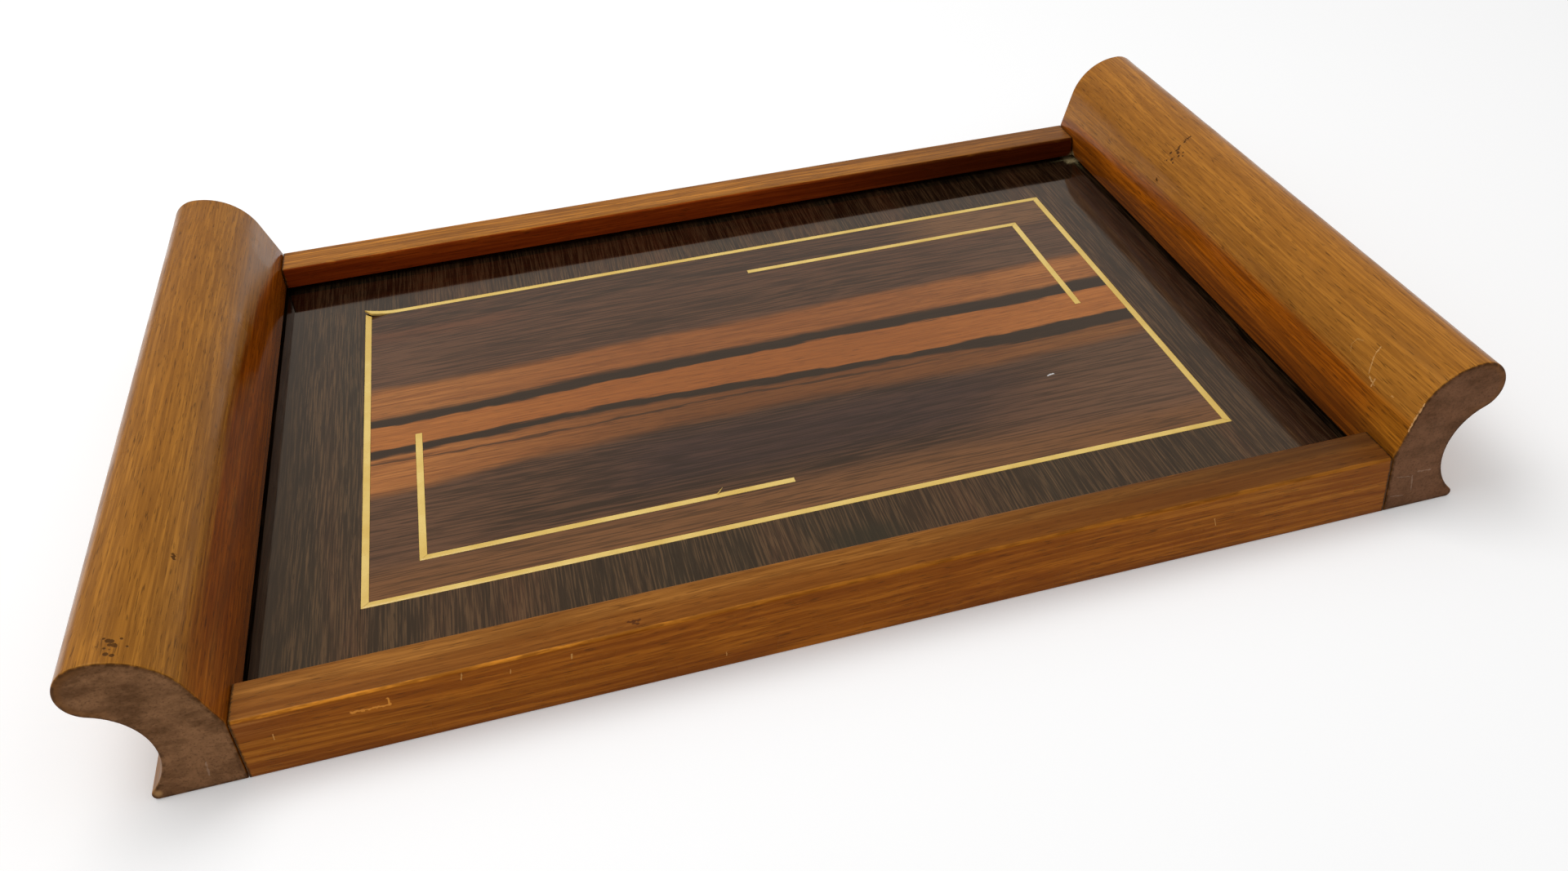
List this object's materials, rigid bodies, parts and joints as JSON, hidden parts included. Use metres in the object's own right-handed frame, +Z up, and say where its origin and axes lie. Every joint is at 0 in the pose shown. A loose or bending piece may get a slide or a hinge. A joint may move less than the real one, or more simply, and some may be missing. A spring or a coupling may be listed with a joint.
{
  "type": "serving tray",
  "caption": "Rectangular wooden serving tray: rolled end handles with finger grooves, low rails, and a dark veneered panel inlaid with pale stringing.",
  "frame": {"origin": "middle of the footprint, on the surface that the tray stands on", "axes": "+X along the tray from the left handle to the right one, +Y from the front rail to the rear rail, +Z up"},
  "size_m": [0.4746, 0.31, 0.0575],
  "materials": {
    "handle_wood": "satin varnish over a reddish brown hardwood",
    "rail_wood": "satin varnish over a striped orange brown hardwood",
    "field_veneer": "gloss varnish over dark veneer with orange stripes along one side",
    "border_veneer": "gloss varnish over dark brown veneer",
    "stringing": "gloss varnish over pale yellow wood",
    "core_ply": "unfinished plywood",
    "backing_veneer": "thin varnish over plain brown veneer",
    "dowel_beech": "unfinished turned wood"
  },
  "bodies": {
    "root": {"left_handle": "handle_wood", "right_handle": "handle_wood", "front_rail": "rail_wood", "rear_rail": "rail_wood", "panel_core": "core_ply", "backing_veneer": "backing_veneer", "field_veneer": "field_veneer", "border_veneer_front": "border_veneer", "string_front": "stringing", "border_veneer_rear": "border_veneer", "string_rear": "stringing", "border_veneer_left": "border_veneer", "string_left": "stringing", "border_veneer_right": "border_veneer", "string_right": "stringing", "ell_front_left_long": "stringing", "ell_front_left_short": "stringing", "ell_rear_right_long": "stringing", "ell_rear_right_short": "stringing", "dowel_front_left_lower": "dowel_beech", "dowel_front_left_upper": "dowel_beech", "dowel_front_right_lower": "dowel_beech", "dowel_front_right_upper": "dowel_beech", "dowel_rear_left_lower": "dowel_beech", "dowel_rear_left_upper": "dowel_beech", "dowel_rear_right_lower": "dowel_beech", "dowel_rear_right_upper": "dowel_beech"}
  },
  "joints": []
}
